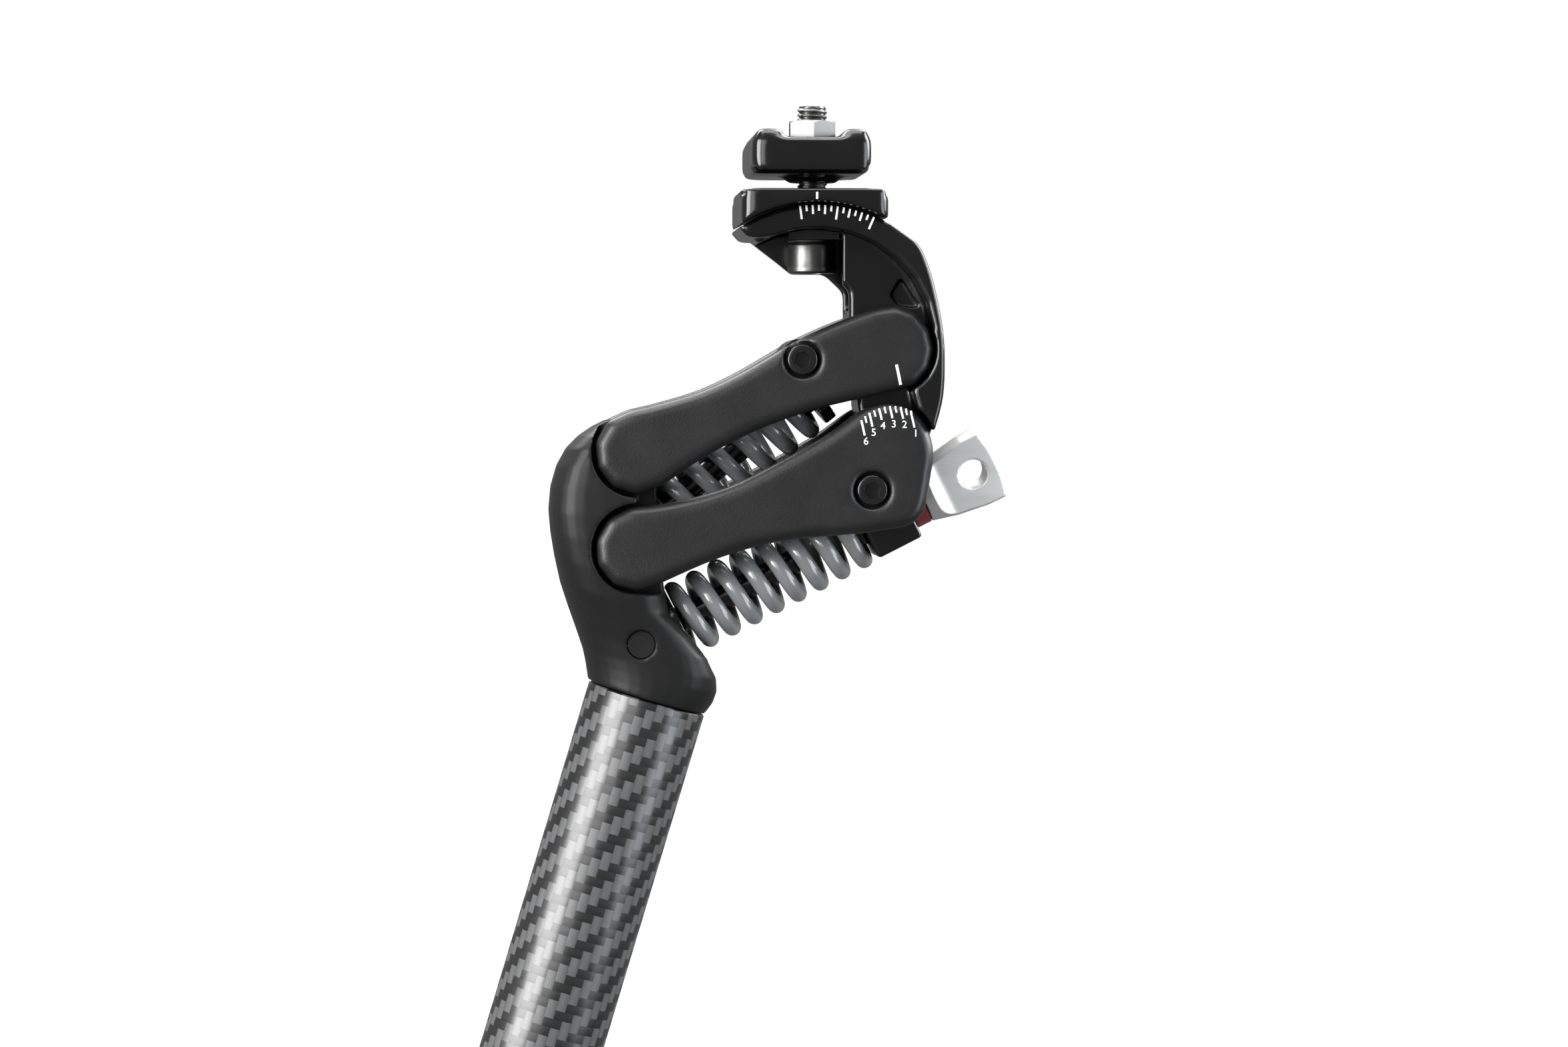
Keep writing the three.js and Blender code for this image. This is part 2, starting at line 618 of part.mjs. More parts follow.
function clampSet() {
  const hole = uprightRod(ARC.x, BOLT_R + 0.3, 200, 280);
  const cradle = cut(
    plan(55.5, 93.5, CLAMP_HALF, 4, 224, CRADLE_TOP),
    crossRod(ARC, ARC_R + 0.3, -PAST, PAST, 128),
    ...railGrooves(RAIL_Z - RAIL_D / 2 - 0.1, 260),
    hole,
  );
  add("rail_cradle", cradle, GLOSS_BLACK);

  const ridge = (x0, x1) => plan(x0, x1, CLAMP_HALF - 1, 2, 246, RIDGE_TOP);
  const cone = new THREE.CylinderGeometry(6, 9, 3, 32).rotateX(-Math.PI / 2);
  const clamp = cut(
    join(
      plan(58.2, 89.1, CLAMP_HALF, 3.5, CLAMP_UNDERSIDE, CLAMP_TOP),
      ridge(59.4, 66.2),
      ridge(81.7, 88.1),
      solid(cone.translate(ARC.x, 0, CLAMP_UNDERSIDE - 0.5)),
    ),
    ...railGrooves(230, RAIL_Z + RAIL_D / 2 + 0.1),
    hole,
  );
  add("top_clamp", clamp, GLOSS_BLACK);

  const hexagon = (r, zLow, zHigh) => {
    const bar = { depth: zHigh - zLow, bevelEnabled: false };
    return solid(new THREE.ExtrudeGeometry(regular(6, r, Math.PI / 6), bar).translate(ARC.x, 0, zLow));
  };
  const thread = uprightRod(ARC.x, BOLT_R + RUN, 240, 270);
  add("clamp_nut", cut(hexagon(NUT_R, NUT_BOTTOM, NUT_TOP), thread), BRIGHT_STEEL);
  const bolt = join(
    uprightRod(ARC.x, BOLT_HEAD_R, BOLT_HEAD_BOTTOM, BOLT_HEAD_TOP),
    uprightRod(ARC.x, BOLT_R, BOLT_HEAD_TOP - 1, BOLT_TIP),
  );
  const socket = hexagon(BOLT_HEX_R, BOLT_HEAD_BOTTOM - 1, BOLT_HEAD_BOTTOM + BOLT_HEX_DEPTH);
  add("clamp_bolt", cut(bolt, socket), BRIGHT_STEEL);
  const plate = block([ARC.x - 6.6, ARC.x + 6.6], [-7, 7], [BOLT_HEAD_TOP + FIT, 240]);
  const washer = plate.intersect(crossRod(ARC, ARC_INNER_R - 0.3, -7.4, 7.4, 96));
  add("curved_washer", cut(washer, hole), DARK_STEEL);
}

// ---- spring seats and the preload adjuster ----
function rearSeats() {
  const pilot = 4.6; // radius of the short boss inside a spring's end
  const lowerBlock = slab(outline([
    [LOWER_SPRING.end + 0.3, -8.8, 1],
    [78.4, -8.8, 1],
    [78.4, 3.2, 2],
    [73.4, 8, 2],
    [67, 9, 2],
    [LOWER_SPRING.end + 0.3, 6, 2],
  ]), -SEAT_HALF, SEAT_HALF, 0.5);
  const lowerEye = crossRod(LOWER_SPRING.eye, EYE_R, -SEAT_HALF, SEAT_HALF);
  const lower = cut(
    join(lowerBlock, lowerEye, alongRod(LOWER_SPRING.end - 5, 67, pilot)),
    crossRod(LOWER_SPRING.eye, TRUNNION_R + RUN, -20, 20),
    alongRod(58, 90, PRELOAD_SCREW_R + RUN),
  );
  add("lower_spring_rear_seat", inSpringFrame(lower, LOWER_SPRING), GLOSS_BLACK);

  const notches = [];
  const count = 12;
  for (let i = 0; i < count; i++) {
    const angle = (TAU * i) / count;
    const notch = alongRod(UPPER_SPRING.end, UPPER_SPRING.end + 5, 1.1, 8);
    notches.push(notch.translate([0, 9.6 * Math.sin(angle), 9.6 * Math.cos(angle)]));
  }
  const collar = cut(alongRod(UPPER_SPRING.end + 0.3, UPPER_SPRING.end + 3.6, 9.4, 36), ...notches);
  const upperEye = crossRod(UPPER_SPRING.eye, EYE_R, -SEAT_HALF, SEAT_HALF);
  const yoke = block([UPPER_SPRING.end + 2, 66], [-8, 8], [-4, 6]);
  const upper = cut(
    join(collar, upperEye, yoke, alongRod(UPPER_SPRING.end - 5, 62, pilot)),
    crossRod(UPPER_SPRING.eye, TRUNNION_R + RUN, -20, 20),
  );
  add("upper_spring_rear_seat", inSpringFrame(upper, UPPER_SPRING), GLOSS_BLACK);
}

// A flared round bar with a crowned end, milled on both sides to a flat paddle with scooped shoulders.
function preloadKnob() {
  const profile = [
    [0, KNOB_START],
    [7, KNOB_START],
    [8.8, KNOB_SHOULDER],
    [10, KNOB_END - 5],
    [10.1, KNOB_END],
    [6, KNOB_END + KNOB_CROWN * 0.65],
    [0, KNOB_END + KNOB_CROWN],
  ].map(([r, along]) => new THREE.Vector2(r, along));
  const bar = solid(new THREE.LatheGeometry(profile, 48).rotateZ(-Math.PI / 2));
  const mills = [-1, 1].flatMap((side) => {
    const roller = new THREE.CylinderGeometry(KNOB_SCOOP_R, KNOB_SCOOP_R, 40, 40).rotateX(Math.PI / 2);
    const scoop = solid(roller.translate(KNOB_SHOULDER, side * (KNOB_FLAT + KNOB_SCOOP_R), 0));
    return [scoop, block([KNOB_SHOULDER, 120], span(side, KNOB_FLAT, 20), [-20, 20])];
  });
  return cut(
    bar,
    ...mills,
    crossRod({ x: KNOB_HOLE, z: 0 }, KNOB_HOLE_R, -20, 20),
    alongRod(KNOB_START - 1, KNOB_START + 6, PRELOAD_SCREW_R + FIT),
  );
}

function preloadAdjuster() {
  const ring = alongRod(WASHER_START, KNOB_START - 0.3, WASHER_R, 36);
  const washer = cut(ring, alongRod(70, 90, PRELOAD_SCREW_R + FIT));
  add("preload_washer", inSpringFrame(washer, LOWER_SPRING), RED_ANODISED);
  const screw = alongRod(61, KNOB_START + 5, PRELOAD_SCREW_R);
  add("preload_screw", inSpringFrame(screw, LOWER_SPRING), BRIGHT_STEEL);
  const turned = preloadKnob().transform(new THREE.Matrix4().makeRotationX(KNOB_TURN).elements);
  add("preload_knob", inSpringFrame(turned, LOWER_SPRING), BARE_ALUMINIUM);
}

seatTube();
lowerHead();
axle("lower_front_axle", FRONT_LOWER);
axle("upper_front_axle", FRONT_UPPER);
link("lower", lowerArmShape(), FRONT_LOWER, REAR_LOWER, LOWER_TRUNNION);
link("upper", upperArmShape(), FRONT_UPPER, REAR_UPPER, UPPER_TRUNNION);
upperBracket();
axle("lower_rear_axle", REAR_LOWER);
axle("upper_rear_axle", REAR_UPPER);
add("lower_spring", coil(LOWER_SPRING), SPRING_GREY);
add("upper_spring", coil(UPPER_SPRING), SPRING_GREY);
add("lower_spring_front_seat", frontSeat(LOWER_SPRING, CROSS_PIN_R, 6), GLOSS_BLACK);
add("upper_spring_front_seat", frontSeat(UPPER_SPRING, AXLE_R, 6.8), GLOSS_BLACK);
rearSeats();
preloadAdjuster();
clampSet();

export default parts;
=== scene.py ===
"""Looks for the parallelogram suspension seatpost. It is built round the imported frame, in metres.

Rounded pieces are remade from their CAD nodes on a fine grid and smoothed, so their edges get real fillets.
Springs, the tube, screws, threads and the printed marks are modelled here at their places in the frame.
"""

import json
import math

import bmesh
import bpy
import numpy as np
from mathutils import Matrix, Vector
from mathutils.bvhtree import BVHTree


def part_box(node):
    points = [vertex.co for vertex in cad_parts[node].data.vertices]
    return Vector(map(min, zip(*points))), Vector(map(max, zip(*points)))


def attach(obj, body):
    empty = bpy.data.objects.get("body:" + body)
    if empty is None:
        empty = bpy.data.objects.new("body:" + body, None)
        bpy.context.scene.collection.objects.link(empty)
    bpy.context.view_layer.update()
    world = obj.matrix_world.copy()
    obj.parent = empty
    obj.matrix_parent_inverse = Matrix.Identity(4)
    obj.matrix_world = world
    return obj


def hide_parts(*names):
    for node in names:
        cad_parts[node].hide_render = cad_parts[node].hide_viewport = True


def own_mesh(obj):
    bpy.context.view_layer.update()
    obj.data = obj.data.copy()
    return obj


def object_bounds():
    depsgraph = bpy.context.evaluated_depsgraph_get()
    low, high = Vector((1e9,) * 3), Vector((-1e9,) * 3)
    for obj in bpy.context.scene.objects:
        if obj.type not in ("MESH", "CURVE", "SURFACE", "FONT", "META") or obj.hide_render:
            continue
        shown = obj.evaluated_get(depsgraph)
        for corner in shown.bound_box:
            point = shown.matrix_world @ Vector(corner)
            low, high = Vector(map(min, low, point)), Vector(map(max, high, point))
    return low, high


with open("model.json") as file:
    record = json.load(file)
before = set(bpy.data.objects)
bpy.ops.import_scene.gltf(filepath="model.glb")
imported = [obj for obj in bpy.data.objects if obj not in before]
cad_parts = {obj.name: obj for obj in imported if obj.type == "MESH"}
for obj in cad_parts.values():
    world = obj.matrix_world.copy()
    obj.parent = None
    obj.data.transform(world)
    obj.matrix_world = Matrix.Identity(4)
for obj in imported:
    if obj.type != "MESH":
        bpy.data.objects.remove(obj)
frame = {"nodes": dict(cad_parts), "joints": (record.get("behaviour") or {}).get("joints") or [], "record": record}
cad_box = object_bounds()

MM = 0.001
TAU = 2 * math.pi
SAME_POINT = 0.001 * MM  # points of a CAD mesh closer than this are one point
CLEAR = 1 * MM  # how far a cutter stands out of what it cuts
TOW = 2.4 * MM  # width of one carbon tow
WIRE = 2.2 * MM  # radius of the springs' wire
COIL = 8.05 * MM  # radius at the middle of the wire
PRINT_THICK = 0.05 * MM  # how far a print stands proud of its face
SUNK = 0.03 * MM  # how far its back lies inside the face

# ---------------------------------------------------------------- places taken from the frame
JOINTS = {joint["name"]: joint for joint in frame["joints"]}
BODIES = frame["record"]["behaviour"]["bodies"]
BODY_OF = {node: body for body, nodes in BODIES.items() for node in nodes}
SLOT_OF = {row["node"]: row["material_slot"] for row in frame["record"]["subparts"]}


def pivot(joint):
    """Where a joint's axis passes, in the row frame."""
    return Vector(JOINTS[joint]["pos_m"])


FRONT_LOWER = pivot("lower_link_fold")
REAR_LOWER = pivot("bracket_pivot")
REAR_UPPER = REAR_LOWER + pivot("upper_link_fold") - FRONT_LOWER
TILT_CENTRE = pivot("cradle_tilt")
SPRING_AXIS = Vector(JOINTS["preload_turn"]["axis"])
ARM_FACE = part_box("lower_arm_left")[0].y
RIM_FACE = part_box("upper_bracket")[0].y
CRADLE_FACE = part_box("rail_cradle")[0].y


# ---------------------------------------------------------------- materials
def node_material(name, colour, roughness, metallic=0.0, coat=0.0, coat_roughness=0.04, specular=0.5):
    """A new material with its node tree and its main shader."""
    material = bpy.data.materials.new(name)
    material.use_nodes = True
    shader = material.node_tree.nodes["Principled BSDF"]
    shader.inputs["Base Color"].default_value = (*colour, 1)
    shader.inputs["Roughness"].default_value = roughness
    shader.inputs["Metallic"].default_value = metallic
    shader.inputs["Coat Weight"].default_value = coat
    shader.inputs["Coat Roughness"].default_value = coat_roughness
    shader.inputs["Specular IOR Level"].default_value = specular
    return material, material.node_tree, shader


def add_node(tree, kind, **settings):
    """A new node, its settings given by input name or by attribute."""
    made = tree.nodes.new(kind)
    for key, value in settings.items():
        if key in made.inputs:
            made.inputs[key].default_value = value
        else:
            setattr(made, key, value)
    return made


def position(tree, stretch=(1, 1, 1), turn=(0, 0, 0)):
    """A piece's own coordinates in millimetres, turned and stretched."""
    coordinates = add_node(tree, "ShaderNodeTexCoord")
    mapping = add_node(tree, "ShaderNodeMapping")
    mapping.inputs["Scale"].default_value = [value / MM for value in stretch]
    mapping.inputs["Rotation"].default_value = turn
    tree.links.new(coordinates.outputs["Object"], mapping.inputs["Vector"])
    return mapping.outputs["Vector"]


def grain(tree, shader, colour, roughness, scale, bump, shade, spread, stretch=(1, 1, 1), turn=(0, 0, 0)):
    """Fine noise in bump, with a slow drift in colour and in roughness."""
    where = position(tree, stretch, turn)
    drift = 0.04 * scale
    depth = 0.06 * MM
    fine = add_node(tree, "ShaderNodeTexNoise", Scale=scale, Detail=3.0, Roughness=0.6)
    slow = add_node(tree, "ShaderNodeTexNoise", Scale=drift, Detail=4.0, Roughness=0.55)
    tree.links.new(where, fine.inputs["Vector"])
    tree.links.new(where, slow.inputs["Vector"])
    relief = add_node(tree, "ShaderNodeBump", Strength=bump, Distance=depth)
    tree.links.new(fine.outputs["Fac"], relief.inputs["Height"])
    tree.links.new(relief.outputs["Normal"], shader.inputs["Normal"])
    tint = add_node(tree, "ShaderNodeMix", data_type="RGBA")
    tint.inputs["A"].default_value = (*[value * (1 - shade) for value in colour], 1)
    tint.inputs["B"].default_value = (*[value * (1 + shade) for value in colour], 1)
    tree.links.new(slow.outputs["Fac"], tint.inputs["Factor"])
    tree.links.new(tint.outputs["Result"], shader.inputs["Base Color"])
    gloss = add_node(tree, "ShaderNodeMapRange")
    gloss.inputs["To Min"].default_value = roughness - spread
    gloss.inputs["To Max"].default_value = roughness + spread
    tree.links.new(slow.outputs["Fac"], gloss.inputs["Value"])
    tree.links.new(gloss.outputs["Result"], shader.inputs["Roughness"])


def grained(name, colour, roughness, scale, bump, shade, spread, stretch=(1, 1, 1), turn=(0, 0, 0), **base):
    """A material with grain all over it."""
    material, tree, shader = node_material(name, colour, roughness, **base)
    grain(tree, shader, colour, roughness, scale, bump, shade, spread, stretch, turn)
    return material


def satin_black():
    """Anodising with a fine even tooth, on the arms."""
    colour = (0.0075, 0.0075, 0.008)
    surface = {"roughness": 0.38, "spread": 0.06, "specular": 0.4}
    return grained("satin_black_anodised", colour, scale=2.4, bump=1.0, shade=0.35, **surface)


def gloss_black():
    """Polished anodising, on the bracket, the clamp and the springs' seats."""
    colour = (0.0035, 0.0035, 0.0038)
    surface = {"roughness": 0.2, "spread": 0.05}
    return grained("gloss_black_anodised", colour, scale=1.6, bump=0.12, shade=0.2, **surface)


def head_black():
    """The head's satin anodising, polished a little in long faint strokes."""
    colour = (0.008, 0.008, 0.0082)
    surface = {"roughness": 0.42, "spread": 0.06, "specular": 0.2, "stretch": (1, 1, 0.35)}
    return grained("head_black_anodised", colour, scale=2.2, bump=0.16, shade=0.25, **surface)


def bright_steel():
    """Axles, the bolt and its nut, and the worn walls of sockets."""
    colour = (0.12, 0.12, 0.118)
    surface = {"roughness": 0.32, "spread": 0.08, "metallic": 1.0}
    return grained("bright_steel", colour, scale=2.0, bump=0.2, shade=0.25, **surface)


def dark_steel():
    """Black oxide, on screws and the curved washer."""
    colour = (0.045, 0.045, 0.047)
    surface = {"roughness": 0.24, "spread": 0.06, "metallic": 0.9}
    return grained("black_oxide_steel", colour, scale=2.0, bump=0.2, shade=0.3, **surface)


def bearing_bronze():
    """Sintered bushes."""
    colour = (0.42, 0.28, 0.13)
    surface = {"roughness": 0.35, "spread": 0.1, "metallic": 1.0}
    return grained("bearing_bronze", colour, scale=1.5, bump=0.2, shade=0.2, **surface)


def bare_aluminium():
    """Milled metal: fine tool lines across the flats."""
    colour = (0.7, 0.7, 0.69)
    along_spring = math.atan2(SPRING_AXIS.z, SPRING_AXIS.x)
    lines = {"stretch": (0.25, 3, 5), "turn": (0, along_spring, 0)}
    surface = {"roughness": 0.5, "spread": 0.08, "metallic": 0.85}
    return grained("bare_aluminium", colour, scale=1.0, bump=0.5, shade=0.1, **lines, **surface)


def red_anodised():
    """Dyed anodising, on the knob's washer."""
    colour = (0.22, 0.04, 0.045)
    surface = {"roughness": 0.35, "spread": 0.06, "metallic": 0.5}
    return grained("red_anodised", colour, scale=2.0, bump=0.15, shade=0.15, **surface)


def spring_grey():
    """Powder coat with a clear glossy skin."""
    colour = (0.165, 0.17, 0.176)
    surface = {"roughness": 0.3, "spread": 0.06, "coat": 0.9}
    return grained("grey_spring_coat", colour, scale=1.2, bump=0.15, shade=0.12, **surface)


def print_white():
    """Ink of the scales."""
    colour = (0.82, 0.82, 0.82)
    surface = {"roughness": 0.55, "spread": 0.05}
    return grained("white_print", colour, scale=6.0, bump=0.1, shade=0.04, **surface)


def carbon_twill():
    """2 by 2 twill under a clear coat. The mesh's UV map counts tows along and across the tube."""
    base = {"roughness": 0.4, "specular": 0.25, "coat": 0.8, "coat_roughness": 0.22}
    material, tree, shader = node_material("carbon_twill", (0.03, 0.03, 0.031), **base)
    shader.inputs["Anisotropic"].default_value = 0.5
    link = tree.links.new
    uv = add_node(tree, "ShaderNodeUVMap", uv_map="tows")
    split = add_node(tree, "ShaderNodeSeparateXYZ")
    link(uv.outputs["UV"], split.inputs["Vector"])

    def maths(operation, a, b=None):
        made = add_node(tree, "ShaderNodeMath", operation=operation)
        for socket, value in zip(made.inputs, (a, b)):
            if value is None:
                continue
            if isinstance(value, (int, float)):
                socket.default_value = value
            else:
                link(value, socket)
        return made.outputs["Value"]

    def scaled(value, factor, offset):
        return maths("ADD", maths("MULTIPLY", value, factor), offset)

    def dome(off):
        """A tow's height, 1 at its middle and a tenth of that at its edges."""
        return maths("SUBTRACT", 1.0, maths("MULTIPLY", maths("MULTIPLY", off, off), 3.6))

    # Which set of tows lies on top: each goes over two and under two, a tow further on in each row.
    across, along = split.outputs["X"], split.outputs["Y"]
    column, row = maths("FLOOR", across), maths("FLOOR", along)
    place = maths("FLOORED_MODULO", maths("SUBTRACT", column, row), 4.0)
    over = maths("LESS_THAN", place, 2.0)
    under = maths("SUBTRACT", 1.0, over)

    def woven(warp, weft):
        return maths("ADD", maths("MULTIPLY", over, warp), maths("MULTIPLY", under, weft))

    # How far a point is from the middle of its tow, for each set of tows.
    off_warp = maths("SUBTRACT", maths("FRACT", across), 0.5)
    off_weft = maths("SUBTRACT", maths("FRACT", along), 0.5)
    height = woven(dome(off_warp), dome(off_weft))
    # Fibres: fine lines that run along each tow.
    fine, long = 26, 0.7
    fibres = []
    for stretch in ((fine, long, 1), (long, fine, 1)):
        mapping = add_node(tree, "ShaderNodeMapping")
        mapping.inputs["Scale"].default_value = stretch
        link(uv.outputs["UV"], mapping.inputs["Vector"])
        noise = add_node(tree, "ShaderNodeTexNoise", Scale=1.0, Detail=2.0)
        link(mapping.outputs["Vector"], noise.inputs["Vector"])
        fibres.append(noise.outputs["Fac"])
    fibre = woven(*fibres)
    fibre_relief = 0.25
    relief = add_node(tree, "ShaderNodeBump", Strength=1.0, Distance=0.1 * MM)
    link(maths("ADD", height, maths("MULTIPLY", fibre, fibre_relief)), relief.inputs["Height"])
    link(relief.outputs["Normal"], shader.inputs["Normal"])
    # Painted sheen and shade: the tows that run along the tube are painted light, as if catching the light, and
    # the others painted dark, and both get painted shade towards their edges.
    tint = add_node(tree, "ShaderNodeMix", data_type="RGBA")
    tint.inputs["A"].default_value = (0.004, 0.004, 0.0042, 1)
    tint.inputs["B"].default_value = (0.09, 0.091, 0.093, 1)
    shade = maths("MULTIPLY", scaled(over, 0.8, 0.05), maths("ADD", fibre, 0.5))
    # Painted shade: each tow's colour is darkened towards its edges, where its curved surface turns away.
    painted_edge_shade = scaled(height, 0.4, 0.6)
    link(maths("MULTIPLY", shade, painted_edge_shade), tint.inputs["Factor"])
    link(tint.outputs["Result"], shader.inputs["Base Color"])
    return material


MATERIALS = {
    "satin_black": satin_black(),
    "gloss_black": gloss_black(),
    "head_black": head_black(),
    "bright_steel": bright_steel(),
    "dark_steel": dark_steel(),
    "bearing_bronze": bearing_bronze(),
    "bare_aluminium": bare_aluminium(),
    "red_anodised": red_anodised(),
    "spring_grey": spring_grey(),
    "carbon": carbon_twill(),
}
PRINT = print_white()


# ---------------------------------------------------------------- mesh tools
def make(name, vertices, faces, smooth=True):
    """A new object in the scene from points and faces."""
    mesh = bpy.data.meshes.new(name)
    mesh.from_pydata([tuple(v) for v in vertices], [], faces)
    mesh.validate()
    made = bpy.data.objects.new(name, mesh)
    bpy.context.scene.collection.objects.link(made)
    if smooth:
        mesh.polygons.foreach_set("use_smooth", [True] * len(mesh.polygons))
    return made


def outward(piece, weld=0.0):
    """Turns every face out, after welding points closer than the given distance."""
    clean = bmesh.new()
    clean.from_mesh(piece.data)
    if weld:
        bmesh.ops.remove_doubles(clean, verts=clean.verts, dist=weld)
        bmesh.ops.dissolve_degenerate(clean, edges=clean.edges, dist=weld / 10)
    bmesh.ops.recalc_face_normals(clean, faces=clean.faces)
    clean.to_mesh(piece.data)
    clean.free()


def finish_piece(piece, node, material=None, replace=True):
    """Gives the piece its material and its body, and hides the CAD node that it stands for unless told not to."""
    piece.data.materials.clear()
    piece.data.materials.append(material or MATERIALS[SLOT_OF[node]])
    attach(piece, BODY_OF[node])
    if replace:
        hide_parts(node)
    return piece


def apply_modifiers(piece):
    """Makes the piece's modifiers part of its mesh."""
    bpy.context.view_layer.update()
    evaluated = piece.evaluated_get(bpy.context.evaluated_depsgraph_get())
    mesh = bpy.data.meshes.new_from_object(evaluated)
    piece.modifiers.clear()
    piece.data = mesh


def combine(piece, operation, *others):
    """Cuts the others out of the piece, or keeps only what they share, and removes them."""
    for other in others:
        modifier = piece.modifiers.new("combine", "BOOLEAN")
        modifier.operation = operation
        modifier.solver = "EXACT"
        modifier.object = other
    apply_modifiers(piece)
    for other in others:
        bpy.data.objects.remove(other)


def crisp(piece, angle=35):
    """Smooth shading that breaks at edges sharper than the angle."""
    mesh = piece.data
    mesh.polygons.foreach_set("use_smooth", [True] * len(mesh.polygons))
    mesh.set_sharp_from_angle(angle=math.radians(angle))
    return piece


def rounded_from(node, voxel, passes):
    """A copy of a CAD node on a fine grid, smoothed so that its edges have fillets."""
    source = frame["nodes"][node]
    piece = bpy.data.objects.new(node + "_body", source.data.copy())
    bpy.context.scene.collection.objects.link(piece)
    weld = piece.modifiers.new("weld", "WELD")
    weld.merge_threshold = SAME_POINT
    remesh = piece.modifiers.new("grid", "REMESH")
    remesh.mode = "VOXEL"
    remesh.voxel_size = voxel * 1
    smooth = piece.modifiers.new("fillet", "SMOOTH")
    smooth.factor = 0.5
    smooth.iterations = passes
    apply_modifiers(piece)
    piece.data.polygons.foreach_set("use_smooth", [True] * len(piece.data.polygons))
    return finish_piece(piece, node)


def lathe(name, profile, place, sides=96):
    """Turns a closed profile of (along, radius) about the local X axis and puts it in place."""
    vertices = []
    for i in range(sides):
        angle = TAU * i / sides
        for along, radius in profile:
            point = Vector((along, radius * math.cos(angle), radius * math.sin(angle)))
            vertices.append(place @ point)
    count = len(profile)
    faces = []
    for i in range(sides):
        for j in range(count):
            a = i * count + j
            b = i * count + (j + 1) % count
            c = ((i + 1) % sides) * count + (j + 1) % count
            d = ((i + 1) % sides) * count + j
            faces.append((a, b, c, d))
    piece = make(name, vertices, faces)
    outward(piece, weld=SAME_POINT / 10)
    return crisp(piece)


def placed(origin, direction, up=Vector((0, 1, 0))):
    """A matrix whose X axis runs along the direction, from the origin."""
    x = Vector(direction).normalized()
    z = x.cross(up)
    z = z.normalized()
    y = z.cross(x)
    return Matrix.Translation(origin) @ Matrix((x, y, z)).transposed().to_4x4()


def prism(name, sides, radius, start, end, place, turn=0.0):
    """A straight bar with a regular section, used to cut sockets."""
    ring = []
    for along in (start, end):
        for i in range(sides):
            angle = turn + TAU * i / sides
            ring.append(place @ Vector((along, radius * math.cos(angle), radius * math.sin(angle))))
    faces = [tuple(reversed(range(sides))), tuple(range(sides, 2 * sides))]
    faces += [(i, (i + 1) % sides, sides + (i + 1) % sides, sides + i) for i in range(sides)]
    piece = make(name, ring, faces, smooth=False)
    outward(piece)
    return piece


# ---------------------------------------------------------------- seat tube
def seat_tube():
    """A smooth tube with its weave laid out in tow widths."""
    low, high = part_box("seat_tube")
    radius = high.y
    direction = -Vector(frame["record"]["mounts"][0]["axis"]).normalized()
    across = radius * math.sqrt(1 - direction.z**2)
    top = (high.z - across) / direction.z
    bottom = (low.z + across) / direction.z
    wall = 2.6 * MM
    edge = 0.35 * MM
    rows, sides = 60, 160
    rim = [(bottom, radius - wall), (bottom, radius - edge), (bottom + edge, radius)]
    outside = [(bottom + edge + (top - bottom - 2 * edge) * i / rows, radius) for i in range(1, rows)]
    profile = rim + outside + [(top - edge, radius), (top, radius - edge), (top, radius - wall)]
    place = placed(Vector((0, 0, 0)), direction)
    piece = lathe("seat_tube_carbon", profile, place, sides)
    layer = piece.data.uv_layers.new(name="tows")
    back = place.inverted()
    # A whole number of repeats of four tows goes round the tube, so the weave closes on itself.
    tows_round = 4 * round(TAU * radius / TOW / 4)
    for face in piece.data.polygons:
        corners = [back @ piece.data.vertices[v].co for v in face.vertices]
        angles = [math.atan2(c.z, c.y) / TAU for c in corners]
        # A face across the seam has corners at both ends of the turn, so one side moves a whole turn.
        if max(angles) - min(angles) > 0.5:
            angles = [a + 1 if a < 0 else a for a in angles]
        for loop, corner, angle in zip(face.loop_indices, corners, angles):
            layer.data[loop].uv = (angle * tows_round, corner.x / TOW)
    finish_piece(piece, "seat_tube")


# ---------------------------------------------------------------- springs
UPPER_ANGLE = math.radians(38.69)
# The axis's rise is above the front pivot, the ends are measured along it, and the first angle is in turns.
SPRINGS = {
    "lower_spring": {
        "front": "lower_front_seat_swing",
        "axis": SPRING_AXIS.normalized(),
        "rise": 0,
        "start": 12.2 * MM,
        "end": 65.2 * MM,
        "pitch": 6.5 * MM,
        "first": 0.105,
    },
    "upper_spring": {
        "front": "upper_front_seat_swing",
        "axis": Vector((math.cos(UPPER_ANGLE), 0, math.sin(UPPER_ANGLE))),
        "rise": 2.9 * MM,
        "start": 12.2 * MM,
        "end": 59.2 * MM,
        "pitch": 7.15 * MM,
        "first": -0.233,
    },
}


def spring(node):
    """A round wire wound into a coil, its ends ground flat where they lie on the seats."""
    front, axis, rise, start, end, pitch, first = SPRINGS[node].values()
    place = placed(pivot(front), axis) @ Matrix.Translation((0, 0, rise))
    # The wire runs on past each seat and is cut by the seat's plane.
    over_run = 1.9 * WIRE
    low, high = start + WIRE - over_run, end - WIRE + over_run
    steps_per_turn, sides = 36, 16
    steps = round((high - low) / pitch * steps_per_turn)
    vertices = []
    for i in range(steps + 1):
        x = low + (high - low) * i / steps
        angle = TAU * (first + (x - start - WIRE) / pitch)
        radial = Vector((0, -math.sin(angle), math.cos(angle)))
        for k in range(sides):
            turn = TAU * k / sides
            point = Vector((x + WIRE * math.sin(turn), 0, 0)) + radial * (COIL + WIRE * math.cos(turn))
            point.x = min(max(point.x, start), end)
            vertices.append(place @ point)
    faces = [tuple(range(sides)), tuple(reversed(range(steps * sides, (steps + 1) * sides)))]
    for i in range(steps):
        for k in range(sides):
            a = i * sides + k
            b = i * sides + (k + 1) % sides
            faces.append((a, a + sides, b + sides, b))
    piece = make(node + "_coil", vertices, faces)
    outward(piece)
    crisp(piece, 50)
    finish_piece(piece, node)
    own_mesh(piece)


# ---------------------------------------------------------------- screws, bolt and nut
def round_edge(radius, edge, points=5):
    """The rounded rim of a turned head, as (along, radius) from its end face to its side."""
    angles = np.linspace(0, math.pi / 2, points)
    return [(edge * (1 - math.cos(a)), radius - edge * (1 - math.sin(a))) for a in angles]


